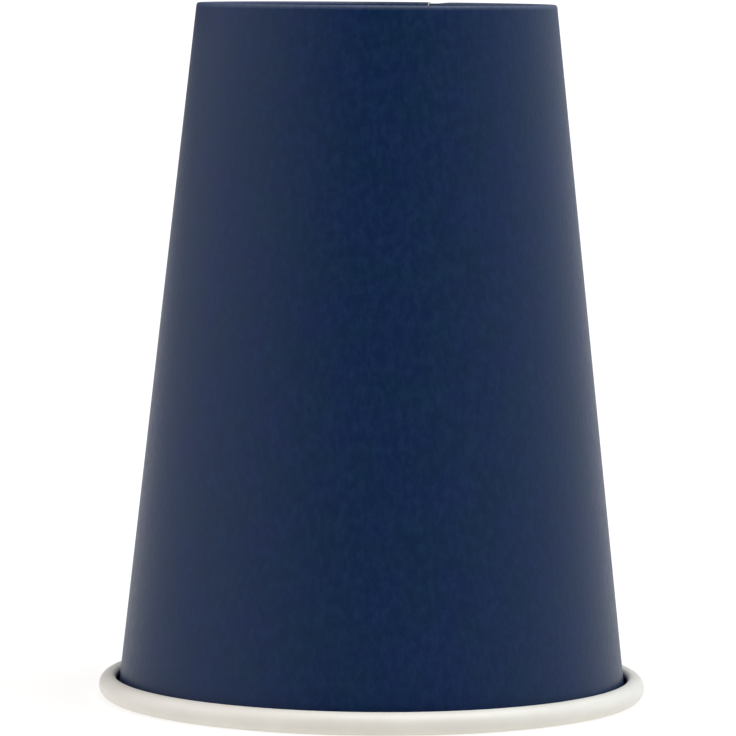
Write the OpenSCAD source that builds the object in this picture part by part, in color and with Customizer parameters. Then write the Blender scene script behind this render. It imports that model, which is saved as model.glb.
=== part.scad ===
// Paper cup, upside down on its rolled rim. Millimetres, +Z up.
// The origin is the middle of the plane that the rim rests on, and the foot is at the top.
// Both pieces of board are drawn as sections, [radius, height], and turned about the axis.

/* [Cup] */
// Diameter across the rolled rim
rim_d = 90; // [80:1:100]
// Diameter across the foot
foot_d = 59; // [50:1:66]
// Height from the rim to the foot
cup_h = 114; // [90:1:140]

/* [Board] */
// Thickness of the side wall
wall_t = 0.4; // [0.3:0.05:0.5]
// Thickness of the bottom disc
disc_t = 0.35; // [0.25:0.05:0.45]
// Sealing film between two layers of board
film_t = 0.02; // [0.01:0.01:0.04]

/* [Rolled rim] */
// Diameter of the roll's section
roll_d = 3.7; // [3.4:0.1:4.2]
// Air between the wall and the roll's inner turn, where the lapped layer ends
roll_gap = 0.6; // [0.55:0.05:0.65]

/* [Foot] */
// Depth from the foot to the bottom disc
recess_h = 7; // [5:0.5:10]
// Inside radius of the bend round the disc
bend_r = 0.5; // [0.3:0.1:0.8]
// Distance from the disc's bend to the cut edge of the hem
hem_gap = 0.5; // [0.3:0.1:1]
// How far the hem's fold is pressed flat where the cup stands
foot_press = 0.05; // [0.03:0.01:0.1]

/* [Side seam] */
// Overlap of the wall's two side edges
seam_w = 8; // [6:0.5:10]
// Width over which the outer layer comes down beside the overlap
ramp_w = 4; // [2.5:0.5:4]
// Direction of the seam, in degrees from +X towards +Y
seam_at = 80; // [0:5:355]

/* [Hidden] */
$fn = 120;

// How far a cutting shape runs past what it cuts
overrun = roll_d;

// The roll is three quarters of a ring, then half of a smaller one whose centre is higher
roll_r = roll_d / 2;
turn_r = roll_r - wall_t - roll_gap;
turn_rise = roll_r - turn_r;

// The fold goes round the skirt of the disc, with film on both faces of the skirt
fold_r = wall_t + film_t + disc_t / 2;

// Distance of the roll's centre and of the fold's centre from the axis, and their heights
roll_at = rim_d / 2 - roll_r;
roll_z = roll_r;
fold_at = foot_d / 2 - fold_r;
fold_z = cup_h + foot_press - fold_r;

// In the wall's own frame the wall is upright, and the roll's centre is the origin
inner_x = -roll_r;
outer_x = inner_x + wall_t;
fold_x = outer_x - fold_r;
wall_l = sqrt(pow(fold_at - roll_at, 2) + pow(fold_z - roll_z, 2) - pow(fold_x, 2));
draft = atan2(fold_z - roll_z, fold_at - roll_at) - atan2(wall_l, fold_x);

// Centre of the disc's bend, first in the wall's frame and then in the cup's
bend_x = inner_x - film_t - disc_t - bend_r;
bend_z = cup_h - recess_h + bend_r;
bend_y = (bend_z - roll_z - bend_x * sin(draft)) / cos(draft);
bend_at = roll_at + bend_x * cos(draft) - bend_y * sin(draft);
skirt_l = wall_l - bend_y;
hem_l = skirt_l - hem_gap;

// The ramp beside the seam is flat, and rises from a line on the wall to one board's thickness
seam_edge = seam_w / 2;
ramp_end = seam_edge + ramp_w;
round_r = (rim_d + foot_d) / 4;
ramp_turn = asin(ramp_end / round_r);
ramp_angle = atan(wall_t / ramp_w - ramp_w / (2 * round_r));

// A ring of side wall board
module board_ring(r) {
    difference() {
        circle(r);
        circle(r - wall_t);
    }
}

// The straight wall, the roll at its wide end, and the fold and hem at its narrow end
module wall_section() {
    translate([inner_x, 0]) square([wall_t, wall_l]);
    difference() {
        board_ring(roll_r);
        translate([-roll_d, 0]) square(roll_d);
    }
    translate([0, turn_rise]) intersection() {
        board_ring(turn_r);
        translate([-roll_d, -roll_d]) square([roll_d, 2 * roll_d]);
    }
    translate([fold_x, wall_l]) {
        intersection() {
            board_ring(fold_r);
            translate([-roll_d, 0]) square([2 * roll_d, roll_d]);
        }
        translate([-fold_r, -hem_l]) square([wall_t, hem_l]);
    }
}

// One more layer on the outside of the wall, from inside the roll to a bevel at the fold
module outer_layer_section() {
    middle_x = outer_x - wall_t / 2;
    top_x = outer_x + wall_t;
    polygon([
        [middle_x, 0],
        [top_x, 0],
        [top_x, wall_l - wall_t],
        [middle_x, wall_l + wall_t / 2]
    ]);
}

// The wall and as much of the air inside it, from the top of the roll to the disc
module inner_layer_section() {
    translate([inner_x - wall_t, roll_r]) square([2 * wall_t, bend_y - roll_r]);
}

// Leans a section from the wall's frame over to the cup's and turns it, up to the plane of the foot
module turned() {
    rotate_extrude() intersection() {
        translate([roll_at, roll_z]) rotate(draft) children();
        translate([0, -overrun]) square([rim_d, cup_h + overrun]);
    }
}

// Stands a shape up in the wall's frame, with X out of the wall and Y round it, at an angle
module on_wall(angle) {
    rotate(angle) translate([roll_at, 0, roll_z]) rotate([0, -draft, 0]) children();
}

// Room for a layer at the seam: it starts square at edge_y, and goes down the ramp on the other side
module seam_room(edge_y, sink) {
    far = 2 * ramp_end;
    tall = wall_l + 2 * overrun;
    intersection() {
        on_wall(seam_at) translate([inner_x - overrun, edge_y, -overrun])
            cube([2 * overrun, far, tall]);
        on_wall(seam_at + ramp_turn) translate([outer_x - sink, 0, -overrun]) rotate(ramp_angle)
            translate([-far, ramp_w / 4 - far, 0]) cube([far, far, tall]);
    }
}

module side_wall() {
    color("#1c2f52") difference() {
        union() {
            turned() wall_section();
            intersection() {
                turned() outer_layer_section();
                seam_room(-seam_edge, 0);
            }
        }
        // The inner layer stops here, so the inside steps out under the outer layer's ramp
        intersection() {
            turned() inner_layer_section();
            seam_room(seam_edge, wall_t);
        }
    }
}

// A flat disc, a bend, and a skirt that follows the wall up to the fold
module bottom_disc() {
    bent_r = bend_r + disc_t;
    color("#f1efe9") rotate_extrude() {
        translate([0, bend_z - bent_r]) square([bend_at, disc_t]);
        translate([bend_at, bend_z]) {
            difference() {
                circle(bent_r);
                circle(bend_r);
                translate([-overrun, -overrun]) square([overrun, 2 * overrun]);
                rotate(draft) translate([-overrun, 0]) square([2 * overrun, overrun]);
            }
            rotate(draft) translate([bend_r, 0]) square([disc_t, skirt_l]);
        }
    }
}

side_wall();
bottom_disc();
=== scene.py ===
# Paper cup, upside down on its rolled rim. Each blank of board starts flat and is formed by nodes.
import math

import bpy
from mathutils import Matrix


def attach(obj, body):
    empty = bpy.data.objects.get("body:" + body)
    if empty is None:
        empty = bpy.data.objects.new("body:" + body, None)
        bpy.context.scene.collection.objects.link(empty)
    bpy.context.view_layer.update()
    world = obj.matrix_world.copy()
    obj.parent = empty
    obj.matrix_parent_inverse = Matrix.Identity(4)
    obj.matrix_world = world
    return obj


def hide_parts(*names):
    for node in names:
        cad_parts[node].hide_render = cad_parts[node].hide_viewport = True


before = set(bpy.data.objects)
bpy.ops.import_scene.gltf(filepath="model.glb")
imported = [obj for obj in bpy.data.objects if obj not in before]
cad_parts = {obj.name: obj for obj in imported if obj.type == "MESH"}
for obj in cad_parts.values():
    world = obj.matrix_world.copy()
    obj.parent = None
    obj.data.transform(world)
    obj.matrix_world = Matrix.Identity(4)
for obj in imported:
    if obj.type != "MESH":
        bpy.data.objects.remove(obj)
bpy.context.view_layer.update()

mm = 0.001
sharpFrom = 55.0  # degrees: only the cut edges of the board stay sharp
arcFineness = 4  # points on an arc for each step of the blank along it


# sRGB hex to the linear colour that the shaders take
def linear(hexColour):
    parts = [int(hexColour[i:i + 2], 16) / 255 for i in (1, 3, 5)]
    return [p / 12.92 if p <= 0.04045 else ((p + 0.055) / 1.055) ** 2.4 for p in parts] + [1.0]


# adds one node: inputs are values or sockets to link, the rest are the node's own settings
# (a colour mix takes its share at 0 and its two colours at 6 and 7, and gives the result at 2)
def add(tree, kind, inputs=None, **settings):
    node = tree.nodes.new(kind)
    for name, value in settings.items():
        setattr(node, name, value)
    for name, value in (inputs or {}).items():
        if isinstance(value, bpy.types.NodeSocket):
            tree.links.new(value, node.inputs[name])
        else:
            node.inputs[name].default_value = value
    return node


# an empty forming tree with one named input for each size
def formingTree(name, sizes):
    tree = bpy.data.node_groups.new(name, "GeometryNodeTree")
    for size in sizes:
        tree.interface.new_socket(size, in_out="INPUT", socket_type="NodeSocketFloat")
    tree.interface.new_socket("Formed", in_out="OUTPUT", socket_type="NodeSocketGeometry")
    group = add(tree, "NodeGroupInput")
    return tree, {size: group.outputs[size] for size in sizes}


# runs the tree once and keeps the result as a plain mesh
def formPiece(name, tree, sizes):
    piece = bpy.data.objects.new(name, bpy.data.meshes.new(name))
    bpy.context.scene.collection.objects.link(piece)
    modifier = piece.modifiers.new("forming", "NODES")
    modifier.node_group = tree
    for item in tree.interface.items_tree:
        if item.in_out == "INPUT":
            modifier[item.identifier] = float(sizes[item.name])
    ready = piece.evaluated_get(bpy.context.evaluated_depsgraph_get())
    mesh = bpy.data.meshes.new_from_object(ready)
    piece.modifiers.remove(modifier)
    mesh.materials.pop(index=0)  # the empty slot that the bare blank had
    piece.data = mesh
    mesh.set_sharp_from_angle(angle=math.radians(sharpFrom))
    print(name, "formed,", sum(len(face.vertices) - 2 for face in mesh.polygons), "triangles")
    return piece


# Cup board printed all over in matt navy. The ink sinks between the fibres, so the eye sees small
# upright flecks, a soft cloudiness of the board under it, and a pale sheen where the wall turns away.
navyPrint = {
    "deep": "#001b3c", "light": "#0d2a4c", "cool": "#01233f", "warm": "#071d49", "bareBoardAndHighlight": "#8d95a8",
    "fibreLength": 1.8, "fibreWidth": 1.1,  # mm: clumps, as single fibres are too fine to show
    "fibreHeight": 0.045,  # mm
    "fibreDetail": 4.0, "fibreRoughness": 0.75,
    "inkRange": (0.43, 0.7), "glossRange": (0.3, 0.7),  # of the noise, from the least to the most
    "cloud": 7.0,  # mm
    "cloudDetail": 3.0, "cloudRange": (0.38, 0.62), "cloudShare": 0.4,
    "smoothest": 0.36, "roughest": 0.46, "specular": 0.17,
    # the pale band by the fold is partly worn ink and partly a painted highlight of the fold's lit edge
    "foldLow": 113.25, "foldTop": 113.95,  # mm above the table
    "foldWearAndHighlight": 0.28, "foldSpeckle": 0.3,
}


def makeNavyPrint(look):
    material = bpy.data.materials.new("navyPrintedBoard")
    material.use_nodes = True
    tree = material.node_tree
    shader = tree.nodes["Principled BSDF"]
    place = add(tree, "ShaderNodeTexCoord").outputs["Object"]
    height = add(tree, "ShaderNodeSeparateXYZ", {0: place}).outputs["Z"]

    # flecks are longer up the wall than round it
    thin, long = 1 / (look["fibreWidth"] * mm), 1 / (look["fibreLength"] * mm)
    lay = add(tree, "ShaderNodeMapping", {"Vector": place, "Scale": (thin, thin, long)}).outputs[0]
    fleck = add(tree, "ShaderNodeTexNoise", {
        "Vector": lay, "Scale": 1.0, "Detail": look["fibreDetail"],
        "Roughness": look["fibreRoughness"]}).outputs["Fac"]
    cloud = add(tree, "ShaderNodeTexNoise", {
        "Vector": place, "Scale": 1 / (look["cloud"] * mm), "Detail": look["cloudDetail"]}).outputs["Fac"]
    least, most = look["inkRange"]
    tone = add(tree, "ShaderNodeMapRange", {"Value": fleck, "From Min": least, "From Max": most}).outputs[0]
    least, most = look["cloudRange"]
    cast = add(tree, "ShaderNodeMapRange", {"Value": cloud, "From Min": least, "From Max": most}).outputs[0]
    ink = add(tree, "ShaderNodeMix", {
        0: tone, 6: linear(look["deep"]), 7: linear(look["light"])}, data_type="RGBA").outputs[2]
    hue = add(tree, "ShaderNodeMix", {
        0: cast, 6: linear(look["cool"]), 7: linear(look["warm"])}, data_type="RGBA").outputs[2]
    clouded = add(tree, "ShaderNodeMix", {
        0: look["cloudShare"], 6: ink, 7: hue}, data_type="RGBA").outputs[2]

    # the ink cracks a little along the fold that the cup stands on; the pale colour there is also a painted
    # highlight of the fold's lit edge
    edge = add(tree, "ShaderNodeMapRange", {
        "Value": height, "From Min": look["foldLow"] * mm, "From Max": look["foldTop"] * mm,
        "To Max": look["foldWearAndHighlight"]}).outputs[0]
    speckle = add(tree, "ShaderNodeMapRange", {"Value": tone, "To Min": 1 - look["foldSpeckle"]}).outputs[0]
    wearAndHighlight = add(tree, "ShaderNodeMath", {0: edge, 1: speckle}, operation="MULTIPLY").outputs[0]
    colour = add(tree, "ShaderNodeMix", {
        0: wearAndHighlight, 6: clouded, 7: linear(look["bareBoardAndHighlight"])}, data_type="RGBA").outputs[2]
    least, most = look["glossRange"]
    rough = add(tree, "ShaderNodeMapRange", {
        "Value": fleck, "From Min": least, "From Max": most,
        "To Min": look["smoothest"], "To Max": look["roughest"]}).outputs[0]
    bump = add(tree, "ShaderNodeBump", {"Height": fleck, "Distance": look["fibreHeight"] * mm}).outputs[0]
    for socket, value in (("Base Color", colour), ("Roughness", rough), ("Normal", bump)):
        tree.links.new(value, shader.inputs[socket])
    shader.inputs["Specular IOR Level"].default_value = look["specular"]
    return material


# White cup board under a thin satin film: the inside of the cup, the roll and the bottom disc.
# The film rounds off the fibres, so the eye sees a clean warm white with a soft, slightly uneven gloss.
whiteFilm = {
    "white": "#dcd8ce", "shade": "#d8d3c9",
    "cloud": 6.0, "grain": 0.45, "grainHeight": 0.006,  # mm
    "cloudDetail": 3.0, "grainDetail": 2.0,
    "toneRange": (0.35, 0.65), "glossRange": (0.3, 0.7),  # of the noise, from the least to the most
    "smoothest": 0.39, "roughest": 0.46,
}


def makeWhiteFilm(look):
    material = bpy.data.materials.new("whiteFilmedBoard")
    material.use_nodes = True
    tree = material.node_tree
    shader = tree.nodes["Principled BSDF"]
    place = add(tree, "ShaderNodeTexCoord").outputs["Object"]
    cloud = add(tree, "ShaderNodeTexNoise", {
        "Vector": place, "Scale": 1 / (look["cloud"] * mm), "Detail": look["cloudDetail"]}).outputs["Fac"]
    grain = add(tree, "ShaderNodeTexNoise", {
        "Vector": place, "Scale": 1 / (look["grain"] * mm), "Detail": look["grainDetail"]}).outputs["Fac"]
    least, most = look["toneRange"]
    tone = add(tree, "ShaderNodeMapRange", {"Value": cloud, "From Min": least, "From Max": most}).outputs[0]
    colour = add(tree, "ShaderNodeMix", {
        0: tone, 6: linear(look["shade"]), 7: linear(look["white"])}, data_type="RGBA").outputs[2]
    least, most = look["glossRange"]
    rough = add(tree, "ShaderNodeMapRange", {
        "Value": cloud, "From Min": least, "From Max": most,
        "To Min": look["smoothest"], "To Max": look["roughest"]}).outputs[0]
    bump = add(tree, "ShaderNodeBump", {"Height": grain, "Distance": look["grainHeight"] * mm}).outputs[0]
    for socket, value in (("Base Color", colour), ("Roughness", rough), ("Normal", bump)):
        tree.links.new(value, shader.inputs[socket])
    return material


# Raw board where the blank was cut: no ink and no film, only pressed fibre in cream layers.
cutBoard = {
    "pale": "#efe9dc", "dark": "#cfc5b2",
    "layer": 0.07, "fibre": 0.5, "fibreHeight": 0.02,  # mm
    "detail": 2.0, "roughness": 0.92,
}


def makeCutBoard(look):
    material = bpy.data.materials.new("cutBoardEdge")
    material.use_nodes = True
    tree = material.node_tree
    shader = tree.nodes["Principled BSDF"]
    place = add(tree, "ShaderNodeTexCoord").outputs["Object"]
    fine, long = 1 / (look["layer"] * mm), 1 / (look["fibre"] * mm)
    lay = add(tree, "ShaderNodeMapping", {"Vector": place, "Scale": (fine, fine, long)}).outputs[0]
    layers = add(tree, "ShaderNodeTexNoise", {
        "Vector": lay, "Scale": 1.0, "Detail": look["detail"]}).outputs["Fac"]
    colour = add(tree, "ShaderNodeMix", {
        0: layers, 6: linear(look["dark"]), 7: linear(look["pale"])}, data_type="RGBA").outputs[2]
    bump = add(tree, "ShaderNodeBump", {"Height": layers, "Distance": look["fibreHeight"] * mm}).outputs[0]
    for socket, value in (("Base Color", colour), ("Normal", bump)):
        tree.links.new(value, shader.inputs[socket])
    shader.inputs["Roughness"].default_value = look["roughness"]
    return material


navyPrintedBoard = makeNavyPrint(navyPrint)
whiteFilmedBoard = makeWhiteFilm(whiteFilm)
cutBoardEdge = makeCutBoard(cutBoard)
print("materials ready")


# The cup's sizes in mm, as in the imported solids
cup = {
    "rimAcross": 90.0, "footAcross": 59.0, "height": 114.0,
    "wallBoard": 0.4, "discBoard": 0.35, "film": 0.02,
    "rollAcross": 3.7, "rollGap": 0.6, "recess": 7.0, "bend": 0.5, "footPress": 0.05,
}
rollRadius = cup["rollAcross"] / 2
turnRadius = rollRadius - cup["wallBoard"] - cup["rollGap"]
foldRadius = cup["wallBoard"] + cup["film"] + cup["discBoard"] / 2
rollAt = cup["rimAcross"] / 2 - rollRadius  # distance of the roll's centre from the axis
foldAt = cup["footAcross"] / 2 - foldRadius
foldUp = cup["height"] + cup["footPress"] - foldRadius
foldX = cup["wallBoard"] - rollRadius - foldRadius  # fold's centre beside the roll's, with the wall upright
wallRun = math.sqrt((foldAt - rollAt) ** 2 + (foldUp - rollRadius) ** 2 - foldX ** 2)
lean = math.atan2(foldUp - rollRadius, foldAt - rollAt) - math.atan2(wallRun, foldX)
bendX = -rollRadius - cup["film"] - cup["discBoard"] - cup["bend"]
bendUp = cup["height"] - cup["recess"] + cup["bend"]
bendY = (bendUp - rollRadius - bendX * math.sin(lean)) / math.cos(lean)
bendAt = rollAt + bendX * math.cos(lean) - bendY * math.sin(lean)
skirtRun = wallRun - bendY


# Side wall: a fan-shaped blank, lapped at the back, rolled at the rim and folded in at the foot
sideWall = {
    "seamDirection": 80.0,  # degrees
    "lap": 8.0, "ramp": 4.0, "hemGap": 0.5,  # mm
    "teeth": 80,  # crimp marks pressed into the hem
    "toothDepth": 0.1,  # mm
    "crimpIn": (0.15, 0.4), "crimpOut": (0.75, 0.95),  # shares of the hem, from its cut edge to the fold
    "stepsRound": 420, "stepsEach": 18,  # steps round the cup, and in each part of the section
}


def makeSideWall(plan):
    half = cup["wallBoard"] / 2
    sizes = {
        "Board": cup["wallBoard"] * mm, "Foot": cup["height"] * mm, "Lean": lean,
        "Roll centre": rollAt * mm, "Roll radius": (rollRadius - half) * mm,
        "Turn radius": (turnRadius - half) * mm, "Turn rise": (rollRadius - turnRadius) * mm,
        "Fold centre": foldX * mm, "Fold radius": (foldRadius - half) * mm,
        "Wall run": wallRun * mm, "Hem end": (bendY + plan["hemGap"]) * mm,
        "Seam": math.radians(plan["seamDirection"]), "Lap": plan["lap"] * mm, "Ramp": plan["ramp"] * mm,
        "Teeth": plan["teeth"], "Tooth depth": plan["toothDepth"] * mm,
    }
    tree, known = formingTree("formSideWall", sizes)
    parts = 5  # hem, fold, wall, roll and inner turn

    # the section, drawn with the wall upright and the roll's centre at the origin
    for name, operation, *terms in (
        ("hem x", "SUBTRACT", "Fold centre", "Fold radius"),
        ("wall x", "ADD", "Fold centre", "Fold radius"),
        ("roll up", "ADD", "Roll radius", cup["wallBoard"] * mm / 2),
    ):
        inputs = {i: known.get(term, term) for i, term in enumerate(terms)}
        known[name] = add(tree, "ShaderNodeMath", inputs, operation=operation).outputs[0]
    hemLow = add(tree, "ShaderNodeCombineXYZ", {0: known["hem x"], 1: known["Hem end"]}).outputs[0]
    hemTop = add(tree, "ShaderNodeCombineXYZ", {0: known["hem x"], 1: known["Wall run"]}).outputs[0]
    wallTop = add(tree, "ShaderNodeCombineXYZ", {0: known["wall x"], 1: known["Wall run"]}).outputs[0]
    wallLow = add(tree, "ShaderNodeCombineXYZ", {0: known["wall x"]}).outputs[0]
    foldMiddle = add(tree, "ShaderNodeCombineXYZ", {0: known["Fold centre"], 1: known["Wall run"]}).outputs[0]
    turnMiddle = add(tree, "ShaderNodeCombineXYZ", {1: known["Turn rise"]}).outputs[0]
    hem = add(tree, "GeometryNodeCurvePrimitiveLine", {"Start": hemLow, "End": hemTop}).outputs[0]
    wall = add(tree, "GeometryNodeCurvePrimitiveLine", {"Start": wallTop, "End": wallLow}).outputs[0]
    arcs = {}
    for name, start, sweep in (("Fold", 180, -180), ("Roll", 180, 270), ("Turn", 90, 180)):  # degrees
        arcs[name] = add(tree, "GeometryNodeCurveArc", {
            "Resolution": arcFineness * plan["stepsEach"] + 1, "Radius": known[name + " radius"],
            "Start Angle": math.radians(start), "Sweep Angle": math.radians(sweep)},
            mode="RADIUS").outputs[0]
    fold = add(tree, "GeometryNodeTransform", {
        "Geometry": arcs["Fold"], "Translation": foldMiddle}).outputs[0]
    turn = add(tree, "GeometryNodeTransform", {
        "Geometry": arcs["Turn"], "Translation": turnMiddle}).outputs[0]
    section = add(tree, "GeometryNodeJoinGeometry")
    for curve in (turn, arcs["Roll"], wall, fold, hem):  # a join counts its links from the last one made
        tree.links.new(curve, section.inputs[0])
    leaned = add(tree, "ShaderNodeCombineXYZ", {2: known["Lean"]}).outputs[0]
    rollMiddle = add(tree, "ShaderNodeCombineXYZ", {0: known["Roll centre"], 1: known["roll up"]}).outputs[0]
    section = add(tree, "GeometryNodeTransform", {
        "Geometry": section.outputs[0], "Translation": rollMiddle, "Rotation": leaned}).outputs[0]

    # the flat blank is a slab: X goes round the cup, Y along the section, and Z is the printed side
    blank = add(tree, "GeometryNodeMeshCube", {
        "Vertices X": plan["stepsRound"] + 1, "Vertices Y": parts * plan["stepsEach"] + 1, "Vertices Z": 2})
    flat = add(tree, "ShaderNodeSeparateXYZ", {0: add(tree, "GeometryNodeInputPosition").outputs[0]})
    known.update({"flat x": flat.outputs[0], "flat y": flat.outputs[1], "flat z": flat.outputs[2]})
    for name, operation, *terms in (
        ("around", "SUBTRACT", 0.5, "flat x"),
        ("back", "SUBTRACT", 1.0, "around"),
        ("along", "MULTIPLY_ADD", "flat y", float(parts), parts / 2),
        ("whole", "FLOOR", "along"),
        ("part", "MINIMUM", "whole", parts - 1.0),
        ("share", "SUBTRACT", "along", "part"),
    ):
        inputs = {i: known.get(term, term) for i, term in enumerate(terms)}
        known[name] = add(tree, "ShaderNodeMath", inputs, operation=operation).outputs[0]
    sample = add(tree, "GeometryNodeSampleCurve", {
        "Curves": section, "Factor": known["share"], "Curve Index": known["part"]}, mode="FACTOR")
    point = add(tree, "ShaderNodeSeparateXYZ", {0: sample.outputs["Position"]})
    facing = add(tree, "ShaderNodeVectorRotate", {
        "Vector": sample.outputs["Tangent"], "Angle": math.pi / 2}, rotation_type="Z_AXIS").outputs[0]

    # the lap: the end laid outside is lifted by one board and comes down on a ramp beside the lap
    known["radius"] = point.outputs[0]
    for name, operation, *terms in (
        ("girth", "MULTIPLY_ADD", "radius", 2 * math.pi, "Lap"),
        ("from outer end", "MULTIPLY", "around", "girth"),
        ("from inner end", "MULTIPLY", "back", "girth"),
        ("ramp end", "ADD", "Lap", "Ramp"),
    ):
        inputs = {i: known.get(term, term) for i, term in enumerate(terms)}
        known[name] = add(tree, "ShaderNodeMath", inputs, operation=operation).outputs[0]
    ends = {}
    for end in ("outer", "inner"):
        ends[end] = add(tree, "ShaderNodeMapRange", {
            "Value": known["from " + end + " end"], "From Min": known["Lap"], "From Max": known["ramp end"],
            "To Min": 1.0, "To Max": 0.0}, interpolation_type="SMOOTHSTEP").outputs[0]
    known.update({"lifted": ends["outer"], "under": ends["inner"]})

    # crimp marks fade in from the hem's cut edge and out before the fold
    for name, reach, fade in (("hem share", "crimpIn", (0.0, 1.0)), ("fold share", "crimpOut", (1.0, 0.0))):
        known[name] = add(tree, "ShaderNodeMapRange", {
            "Value": known["along"], "From Min": plan[reach][0], "From Max": plan[reach][1],
            "To Min": fade[0], "To Max": fade[1]}, interpolation_type="SMOOTHSTEP").outputs[0]
    for name, operation, *terms in (
        ("angle run", "DIVIDE", "from outer end", "radius"),
        ("half lap", "DIVIDE", "Lap", "radius"),
        ("outer end", "MULTIPLY_ADD", "half lap", -0.5, "Seam"),
        ("angle", "ADD", "outer end", "angle run"),
        ("tooth turn", "MULTIPLY", "angle", "Teeth"),
        ("tooth", "SINE", "tooth turn"),
        ("tooth on hem", "MULTIPLY", "tooth", "hem share"),
        ("tooth ends", "MULTIPLY", "tooth on hem", "fold share"),
        ("crimp", "MULTIPLY", "tooth ends", "Tooth depth"),
        ("level", "ADD", "flat z", "lifted"),
        ("lift", "MULTIPLY_ADD", "level", "Board", "crimp"),
    ):
        inputs = {i: known.get(term, term) for i, term in enumerate(terms)}
        known[name] = add(tree, "ShaderNodeMath", inputs, operation=operation).outputs[0]
    offset = add(tree, "ShaderNodeVectorMath", {
        0: facing, "Scale": known["lift"]}, operation="SCALE").outputs[0]
    moved = add(tree, "ShaderNodeVectorMath", {
        0: sample.outputs["Position"], 1: offset}, operation="ADD").outputs[0]
    moved = add(tree, "ShaderNodeSeparateXYZ", {0: moved})

    # pressed flat where the cup stands, and the two layers of the lap squeezed into the height of one
    known.update({"reach": moved.outputs[0], "rise": moved.outputs[1]})
    for name, operation, *terms in (
        ("layer", "SUBTRACT", 0.5, "flat z"),
        ("depth", "ADD", "layer", "under"),
        ("doubled", "MAXIMUM", "lifted", "under"),
        ("squeeze", "MULTIPLY_ADD", "doubled", -0.5, 1.0),
        ("pressed board", "MULTIPLY", "squeeze", "Board"),
        ("drop", "MULTIPLY", "depth", "pressed board"),
        ("ceiling", "SUBTRACT", "Foot", "drop"),
        ("pressed", "MINIMUM", "rise", "ceiling"),
    ):
        inputs = {i: known.get(term, term) for i, term in enumerate(terms)}
        known[name] = add(tree, "ShaderNodeMath", inputs, operation=operation).outputs[0]
    spoke = add(tree, "ShaderNodeCombineXYZ", {0: known["reach"], 2: known["pressed"]}).outputs[0]
    wrapped = add(tree, "ShaderNodeVectorRotate", {
        "Vector": spoke, "Angle": known["angle"]}, rotation_type="Z_AXIS").outputs[0]

    # which face of the flat blank each face is, kept for the materials
    side = add(tree, "ShaderNodeSeparateXYZ", {0: add(tree, "GeometryNodeInputNormal").outputs[0]}).outputs[2]
    kept = add(tree, "GeometryNodeCaptureAttribute", {"Geometry": blank.outputs["Mesh"]}, domain="FACE")
    kept.capture_items.new("FLOAT", "side")
    tree.links.new(side, kept.inputs["side"])
    shape = add(tree, "GeometryNodeSetPosition", {
        "Geometry": kept.outputs[0], "Position": wrapped}).outputs[0]
    shape = add(tree, "GeometryNodeSetShadeSmooth", {"Geometry": shape}).outputs[0]
    shape = add(tree, "GeometryNodeRealizeInstances", {"Geometry": shape}).outputs[0]
    known["side"] = kept.outputs["side"]
    for name, operation, *terms in (
        ("inside", "LESS_THAN", "side", -0.5), ("flatness", "ABSOLUTE", "side"),
        ("cut", "LESS_THAN", "flatness", 0.5),
    ):
        inputs = {i: known.get(term, term) for i, term in enumerate(terms)}
        known[name] = add(tree, "ShaderNodeMath", inputs, operation=operation).outputs[0]
    shape = add(tree, "GeometryNodeSetMaterial", {"Geometry": shape, "Material": navyPrintedBoard}).outputs[0]
    for faces, material in (("inside", whiteFilmedBoard), ("cut", cutBoardEdge)):
        shape = add(tree, "GeometryNodeSetMaterial", {
            "Geometry": shape, "Selection": known[faces], "Material": material}).outputs[0]
    add(tree, "NodeGroupOutput", {0: shape})
    return formPiece("side_wall_board", tree, sizes)


wallPiece = makeSideWall(sideWall)


# Bottom disc: a round blank whose edge is turned up as a skirt, between the wall and the hem
bottomDisc = {
    "skirtShort": 0.5, "sag": 0.25,  # mm: clearance under the fold, and how far the middle bows
    "stepsRound": 240, "stepsEach": 14,
}


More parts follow.
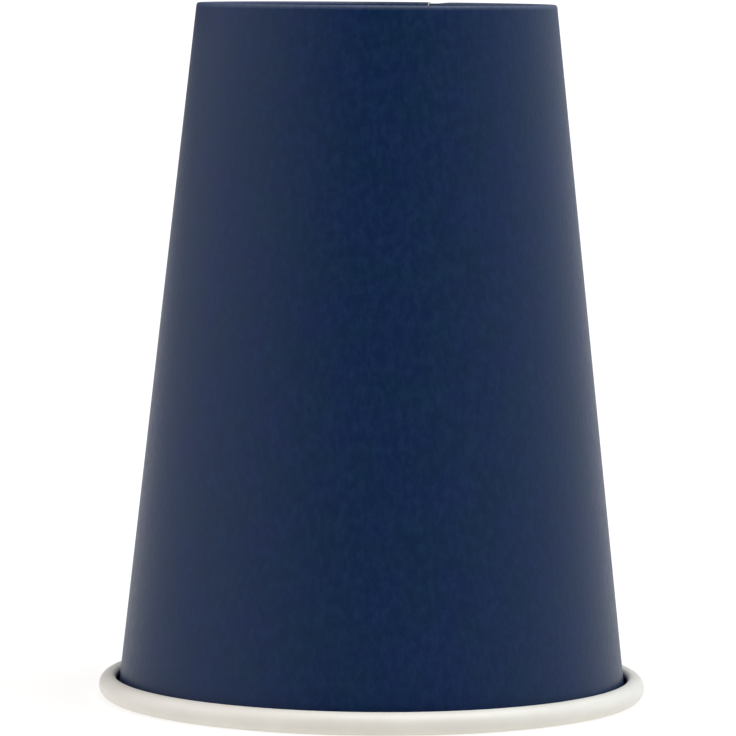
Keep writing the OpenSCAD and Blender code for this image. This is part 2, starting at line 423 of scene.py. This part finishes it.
def makeBottomDisc(plan):
    half = cup["discBoard"] / 2
    sizes = {
        "Board": cup["discBoard"] * mm, "Lean": lean, "Sag": plan["sag"] * mm,
        "Bend centre": bendAt * mm, "Bend radius": (cup["bend"] + half) * mm, "Bend up": bendUp * mm,
        "Skirt run": (skirtRun - plan["skirtShort"]) * mm,
    }
    tree, known = formingTree("formBottomDisc", sizes)
    parts = 3  # flat, bend and skirt

    # half of the section, from the axis outwards
    for name, operation, *terms in (
        ("floor up", "SUBTRACT", "Bend up", "Bend radius"),
        ("bend sweep", "ADD", "Lean", math.pi / 2),
        ("skirt x", "COSINE", "Lean"), ("skirt y", "SINE", "Lean"),
        ("skirt off x", "MULTIPLY_ADD", "skirt x", "Bend radius", "Bend centre"),
        ("skirt off y", "MULTIPLY_ADD", "skirt y", "Bend radius", "Bend up"),
        ("back x", "MULTIPLY", "skirt y", "Skirt run"),
        ("end x", "SUBTRACT", "skirt off x", "back x"),
        ("end y", "MULTIPLY_ADD", "skirt x", "Skirt run", "skirt off y"),
    ):
        inputs = {i: known.get(term, term) for i, term in enumerate(terms)}
        known[name] = add(tree, "ShaderNodeMath", inputs, operation=operation).outputs[0]
    corners = {}
    for name, x, y in (("middle", 0.0, "floor up"), ("edge", "Bend centre", "floor up"),
                       ("skirtLow", "skirt off x", "skirt off y"), ("skirtEnd", "end x", "end y"),
                       ("bendMiddle", "Bend centre", "Bend up")):
        corners[name] = add(tree, "ShaderNodeCombineXYZ", {0: known.get(x, x), 1: known.get(y, y)}).outputs[0]
    flat = add(tree, "GeometryNodeCurvePrimitiveLine", {
        "Start": corners["middle"], "End": corners["edge"]}).outputs[0]
    bend = add(tree, "GeometryNodeCurveArc", {
        "Resolution": arcFineness * plan["stepsEach"] + 1, "Radius": known["Bend radius"],
        "Start Angle": -math.pi / 2, "Sweep Angle": known["bend sweep"]}, mode="RADIUS").outputs[0]
    bend = add(tree, "GeometryNodeTransform", {
        "Geometry": bend, "Translation": corners["bendMiddle"]}).outputs[0]
    skirt = add(tree, "GeometryNodeCurvePrimitiveLine", {
        "Start": corners["skirtLow"], "End": corners["skirtEnd"]}).outputs[0]
    section = add(tree, "GeometryNodeJoinGeometry")
    for curve in (skirt, bend, flat):
        tree.links.new(curve, section.inputs[0])

    # the flat blank is a thin drum of radius 1, with rings from its middle to its edge
    blank = add(tree, "GeometryNodeMeshCylinder", {
        "Vertices": plan["stepsRound"], "Side Segments": 1, "Fill Segments": parts * plan["stepsEach"],
        "Radius": 1.0, "Depth": 1.0}, fill_type="TRIANGLE_FAN")
    place = add(tree, "ShaderNodeSeparateXYZ", {0: add(tree, "GeometryNodeInputPosition").outputs[0]})
    known.update({"flat x": place.outputs[0], "flat y": place.outputs[1], "flat z": place.outputs[2]})
    for name, operation, *terms in (
        ("angle", "ARCTAN2", "flat y", "flat x"),
        ("x squared", "MULTIPLY", "flat x", "flat x"),
        ("squared", "MULTIPLY_ADD", "flat y", "flat y", "x squared"),
        ("out", "SQRT", "squared"),
        ("along", "MULTIPLY", "out", float(parts)),
        ("whole", "FLOOR", "along"),
        ("part", "MINIMUM", "whole", parts - 1.0),
        ("share", "SUBTRACT", "along", "part"),
        ("lift", "MULTIPLY", "flat z", "Board"),
    ):
        inputs = {i: known.get(term, term) for i, term in enumerate(terms)}
        known[name] = add(tree, "ShaderNodeMath", inputs, operation=operation).outputs[0]
    sample = add(tree, "GeometryNodeSampleCurve", {
        "Curves": section.outputs[0], "Factor": known["share"], "Curve Index": known["part"]}, mode="FACTOR")
    facing = add(tree, "ShaderNodeVectorRotate", {
        "Vector": sample.outputs["Tangent"], "Angle": math.pi / 2}, rotation_type="Z_AXIS").outputs[0]
    offset = add(tree, "ShaderNodeVectorMath", {
        0: facing, "Scale": known["lift"]}, operation="SCALE").outputs[0]
    moved = add(tree, "ShaderNodeVectorMath", {
        0: sample.outputs["Position"], 1: offset}, operation="ADD").outputs[0]
    moved = add(tree, "ShaderNodeSeparateXYZ", {0: moved})

    # the middle of the disc bows a little into the cup
    bow = add(tree, "ShaderNodeMapRange", {
        "Value": known["along"], "From Max": 1.0, "To Min": known["Sag"], "To Max": 0.0},
        interpolation_type="SMOOTHSTEP").outputs[0]
    bowed = add(tree, "ShaderNodeMath", {0: moved.outputs[1], 1: bow}, operation="SUBTRACT").outputs[0]
    spoke = add(tree, "ShaderNodeCombineXYZ", {0: moved.outputs[0], 2: bowed}).outputs[0]
    turned = add(tree, "ShaderNodeVectorRotate", {
        "Vector": spoke, "Angle": known["angle"]}, rotation_type="Z_AXIS").outputs[0]
    shape = add(tree, "GeometryNodeSetPosition", {
        "Geometry": blank.outputs["Mesh"], "Position": turned}).outputs[0]
    shape = add(tree, "GeometryNodeSetShadeSmooth", {"Geometry": shape}).outputs[0]
    shape = add(tree, "GeometryNodeRealizeInstances", {"Geometry": shape}).outputs[0]
    shape = add(tree, "GeometryNodeSetMaterial", {"Geometry": shape, "Material": whiteFilmedBoard}).outputs[0]
    shape = add(tree, "GeometryNodeSetMaterial", {
        "Geometry": shape, "Selection": blank.outputs["Side"], "Material": cutBoardEdge}).outputs[0]
    add(tree, "NodeGroupOutput", {0: shape})
    return formPiece("bottom_disc_board", tree, sizes)


discPiece = makeBottomDisc(bottomDisc)


# Floor and soft studio light: a lit white table, a wide lamp overhead and white walls at both sides
studio = {
    "floorSize": 60.0,  # m
    "floorWhite": "#949494", "floorRoughness": 0.9, "floorSpecular": 0.1,
    "floorGlow": 0.735, "floorGlowColour": "#fffdfa",
    # how bright the set is round the cup, by shares of a turn: 0 left, 0.25 front, 0.5 right, 0.75 back
    "levels": ((0.0, 1.6), (0.08, 1.42), (0.15, 0.66), (0.21, 0.02), (0.29, 0.02), (0.35, 0.2), (0.42, 0.7),
               (0.5, 1.22), (0.58, 1.1), (0.71, 0.44), (0.75, 0.2), (0.79, 0.02), (0.85, 0.07), (0.92, 0.92),
               (1.0, 1.6)),
    "rightFrom": 0.3, "rightTo": 0.77,  # this part of the turn is daylight, bluer than the rest
    "rightTint": (0.9, 1.0, 1.12), "leftTint": (0.98, 0.975, 1.02),
    "overheadPower": 2.2,
    "overheadSpread": 60.0,  # degrees
    "overheadTilt": (14.0, 17.0),  # degrees to the front and to the right
}


def makeStudio(plan):
    half = plan["floorSize"] / 2
    mesh = bpy.data.meshes.new("floor")
    corners = [(-half, -half, 0), (half, -half, 0), (half, half, 0), (-half, half, 0)]
    mesh.from_pydata(corners, [], [(0, 1, 2, 3)])
    floor = bpy.data.objects.new("floor", mesh)
    bpy.context.scene.collection.objects.link(floor)
    paint = bpy.data.materials.new("paleFloor")
    paint.use_nodes = True
    shader = paint.node_tree.nodes["Principled BSDF"]
    for socket, value in (
        ("Base Color", linear(plan["floorWhite"])), ("Roughness", plan["floorRoughness"]),
        ("Specular IOR Level", plan["floorSpecular"]), ("Emission Color", linear(plan["floorGlowColour"])),
        ("Emission Strength", plan["floorGlow"]),
    ):
        shader.inputs[socket].default_value = value
    mesh.materials.append(paint)

    world = bpy.data.worlds.new("studio")
    bpy.context.scene.world = world
    world.use_nodes = True
    tree = world.node_tree
    way = add(tree, "ShaderNodeTexCoord").outputs["Generated"]
    turn = add(tree, "ShaderNodeTexGradient", {0: way}, gradient_type="RADIAL").outputs["Fac"]
    walls = add(tree, "ShaderNodeValToRGB", {0: turn})
    while len(walls.color_ramp.elements) < len(plan["levels"]):
        walls.color_ramp.elements.new(0.5)  # each gets its place below
    for stop, (at, level) in zip(walls.color_ramp.elements, plan["levels"]):
        side = "right" if plan["rightFrom"] < at < plan["rightTo"] else "left"
        stop.position = at
        stop.color = [level * tint for tint in plan[side + "Tint"]] + [1.0]
    tree.links.new(walls.outputs["Color"], tree.nodes["Background"].inputs["Color"])

    sun = bpy.data.lights.new("overhead", "SUN")
    sun.energy = plan["overheadPower"]
    sun.angle = math.radians(plan["overheadSpread"])
    lamp = bpy.data.objects.new("overhead", sun)
    lamp.rotation_euler = [math.radians(tilt) for tilt in plan["overheadTilt"]] + [0.0]
    bpy.context.scene.collection.objects.link(lamp)


makeStudio(studio)

# Camera: in front and a little above the foot, a long lens, a touch of roll as in the picture
view = {
    "place": (0.0, -0.8198, 0.1225),  # m
    "pan": 0.00121, "tilt": -0.0831, "roll": 0.0078,  # radians
    "focalPixels": 5004.0, "framePixels": 736,
    "sensor": 36.0,  # mm across
    "clipEnd": 200.0,  # m
}
camera = bpy.data.objects.new("camera", bpy.data.cameras.new("camera"))
camera.data.sensor_width = view["sensor"]
camera.data.lens = view["focalPixels"] * view["sensor"] / view["framePixels"]
camera.data.clip_end = view["clipEnd"]
aim = Matrix.Rotation(view["pan"], 4, "Z") @ Matrix.Rotation(math.pi / 2 + view["tilt"], 4, "X")
camera.matrix_world = Matrix.Translation(view["place"]) @ aim @ Matrix.Rotation(view["roll"], 4, "Z")
bpy.context.scene.collection.objects.link(camera)
bpy.context.scene.camera = camera
bpy.context.scene.view_settings.view_transform = "Standard"
print("floor, light and camera ready")

# Both blanks are one still body
for piece, node, slot in (
    (wallPiece, "side_wall", "printed_board"),
    (discPiece, "bottom_disc", "white_board"),
):
    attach(piece, "root")
    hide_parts(node)
